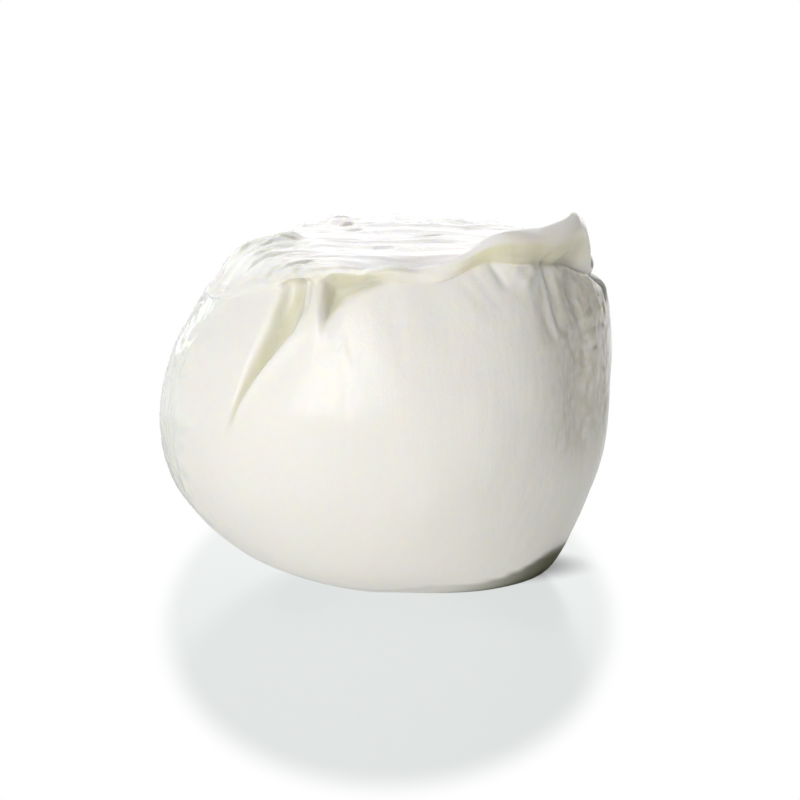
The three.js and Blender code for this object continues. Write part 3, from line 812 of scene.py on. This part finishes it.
# the studio: a glossy light table in front of a bright backdrop, with soft lights
studio = {
    "floorRadius": 6.0,
    "floorColour": (0.965, 1.0, 0.99),
    "floorGlow": 0.735,  # how bright the table glows by itself, inside the painted reflection
    "floorMirror": 0.028,
    "floorRoughness": 0.2,
    "floorLight": (0.63, 0.63, 0.605),  # the light that it throws on the ball
    "farLight": (0.95, 0.95, 0.95),  # and the same behind the ball, outside this circle
    "near": {"centre": (0.0, -1.0), "reach": (1.1, 1.1), "blend": (0.95, 1.05)},
    # its painted reflection, a dimmer glow with a faint real gloss on it, shows round this point, out to
    # these reaches in x and y, and past the blend it is plain white
    "paintedReflection": {"centre": (0.0005, -0.011), "reach": (0.0308, 0.083), "blend": (0.92, 1.07)},
    # it has a painted contact shadow under the ball, and throws no light round there
    "paintedContactShadow": {"centre": (0.0095, 0.004), "reach": (0.0158, 0.009), "blend": (0.65, 1.45)},
    "unlit": {"centre": (0.0125, 0.001), "reach": (0.017, 0.0125), "blend": (0.85, 1.2)},
    "lightDistance": 0.8,
    "lights": {  # where each stands, in degrees from +X and above the table, its width and its power
        "front": {"azimuth": -110, "elevation": 8, "size": 0.8, "power": 5.0},
        "front left": {"azimuth": -130, "elevation": 8, "size": 0.8, "power": 1.6},
        "upper left": {"azimuth": -160, "elevation": 60, "size": 0.6, "power": 0.4},
        "overhead": {"azimuth": -80, "elevation": 62, "size": 0.9, "power": 0.9},
        "back left": {"azimuth": 150, "elevation": 25, "size": 0.8, "power": 0.5},
        "left card": {"azimuth": 180, "elevation": 5, "size": 1.2, "power": 2.6, "only gloss": True},
        "top card": {"azimuth": -90, "elevation": 72, "size": 0.9, "power": 1.5, "only gloss": True},
    },
    "backdrop": {"width": 2.4, "height": 1.2, "away": 1.0, "power": 13.8},
    "surroundings": 0.01,  # how bright the rest of the room is
}


def addFloor(setup):
    radius = setup["floorRadius"]
    mesh = bpy.data.meshes.new("table")
    corners = [(radius * math.cos(a), radius * math.sin(a), 0) for a in np.linspace(0, 2 * math.pi, 65)[:-1]]
    mesh.from_pydata(corners, [], [tuple(range(len(corners)))])
    floor = bpy.data.objects.new("table", mesh)
    material = bpy.data.materials.new("table")
    material.use_nodes = True
    nodes, links = material.node_tree.nodes, material.node_tree.links
    coordinates = nodes.new("ShaderNodeTexCoord").outputs["Object"]

    def outside(oval):
        place = nodes.new("ShaderNodeMapping")
        place.vector_type = "TEXTURE"
        place.inputs["Location"].default_value = (*oval["centre"], 0)
        place.inputs["Scale"].default_value = (*oval["reach"], 1)
        links.new(coordinates, place.inputs["Vector"])
        away = nodes.new("ShaderNodeVectorMath")
        away.operation = "LENGTH"
        links.new(place.outputs[0], away.inputs[0])
        far = nodes.new("ShaderNodeMapRange")
        far.interpolation_type = "SMOOTHSTEP"
        far.inputs["From Min"].default_value, far.inputs["From Max"].default_value = oval["blend"]
        links.new(away.outputs["Value"], far.inputs["Value"])
        return far.outputs[0]

    def mixed(amount, first, second):
        mixer = nodes.new("ShaderNodeMixShader")
        links.new(amount, mixer.inputs[0])
        links.new(first.outputs[0], mixer.inputs[1])
        links.new(second.outputs[0], mixer.inputs[2])
        return mixer

    def blended(share, first, second):
        shade = nodes.new("ShaderNodeMix")
        shade.data_type = "RGBA"
        links.new(share, shade.inputs[0])
        shade.inputs[6].default_value = (*first, 1)
        if isinstance(second, bpy.types.NodeSocket):
            links.new(second, shade.inputs[7])
        else:
            shade.inputs[7].default_value = (*second, 1)
        return shade.outputs[2]

    black = (0, 0, 0)
    seen = nodes["Principled BSDF"]
    seen.inputs["Base Color"].default_value = (0, 0, 0, 1)
    seen.inputs["Roughness"].default_value = setup["floorRoughness"]
    seen.inputs["Specular IOR Level"].default_value = setup["floorMirror"]
    seen.inputs["Emission Strength"].default_value = setup["floorGlow"]
    # painted contact shadow: the table's glow is black under the ball
    shown = blended(outside(setup["paintedContactShadow"]), black, setup["floorColour"])
    links.new(shown, seen.inputs["Emission Color"])
    bounce = nodes.new("ShaderNodeEmission")
    thrown = blended(outside(setup["near"]), setup["floorLight"], setup["farLight"])
    links.new(blended(outside(setup["unlit"]), black, thrown), bounce.inputs["Color"])
    # painted reflection inside the oval, and plain white past it
    table = mixed(outside(setup["paintedReflection"]), seen, nodes.new("ShaderNodeEmission"))
    lit = mixed(nodes.new("ShaderNodeLightPath").outputs["Is Camera Ray"], bounce, table)
    links.new(lit.outputs[0], nodes["Material Output"].inputs["Surface"])
    mesh.materials.append(material)
    scene.collection.objects.link(floor)


def addLight(name, shape, sizes, place, power, onlyGloss=False):
    light = bpy.data.lights.new(name, "AREA")
    light.shape = shape
    light.size, light.size_y = sizes
    light.energy = power
    lamp = bpy.data.objects.new(name, light)
    lamp.location = place
    lamp.rotation_euler = (cameraSetup["target"] - lamp.location).to_track_quat("-Z", "Y").to_euler()
    lamp.visible_camera = False
    lamp.visible_diffuse = not onlyGloss
    scene.collection.objects.link(lamp)


def addLights(setup):
    for name, light in setup["lights"].items():
        turn, rise = math.radians(light["azimuth"]), math.radians(light["elevation"])
        towards = Vector((math.cos(turn) * math.cos(rise), math.sin(turn) * math.cos(rise), math.sin(rise)))
        place = cameraSetup["target"] + setup["lightDistance"] * towards
        addLight(name, "DISK", (light["size"], light["size"]), place, light["power"], "only gloss" in light)
    backdrop = setup["backdrop"]
    addLight("backdrop", "RECTANGLE", (backdrop["width"], backdrop["height"]),
             (0, backdrop["away"], backdrop["height"] / 2), backdrop["power"])


# white to the camera, and dim to the ball
def addWorld(dim):
    world = bpy.data.worlds.new("studio")
    world.use_nodes = True
    scene.world = world
    nodes, links = world.node_tree.nodes, world.node_tree.links
    background = nodes["Background"]
    strength = nodes.new("ShaderNodeMix")
    links.new(nodes.new("ShaderNodeLightPath").outputs["Is Camera Ray"], strength.inputs[0])
    strength.inputs[2].default_value = dim
    strength.inputs[3].default_value = 1.0
    links.new(strength.outputs[0], background.inputs["Strength"])
    background.inputs["Color"].default_value = (1, 1, 1, 1)


addFloor(studio)
addLights(studio)
addWorld(studio["surroundings"])
scene.view_settings.view_transform = "Standard"
print("studio set")
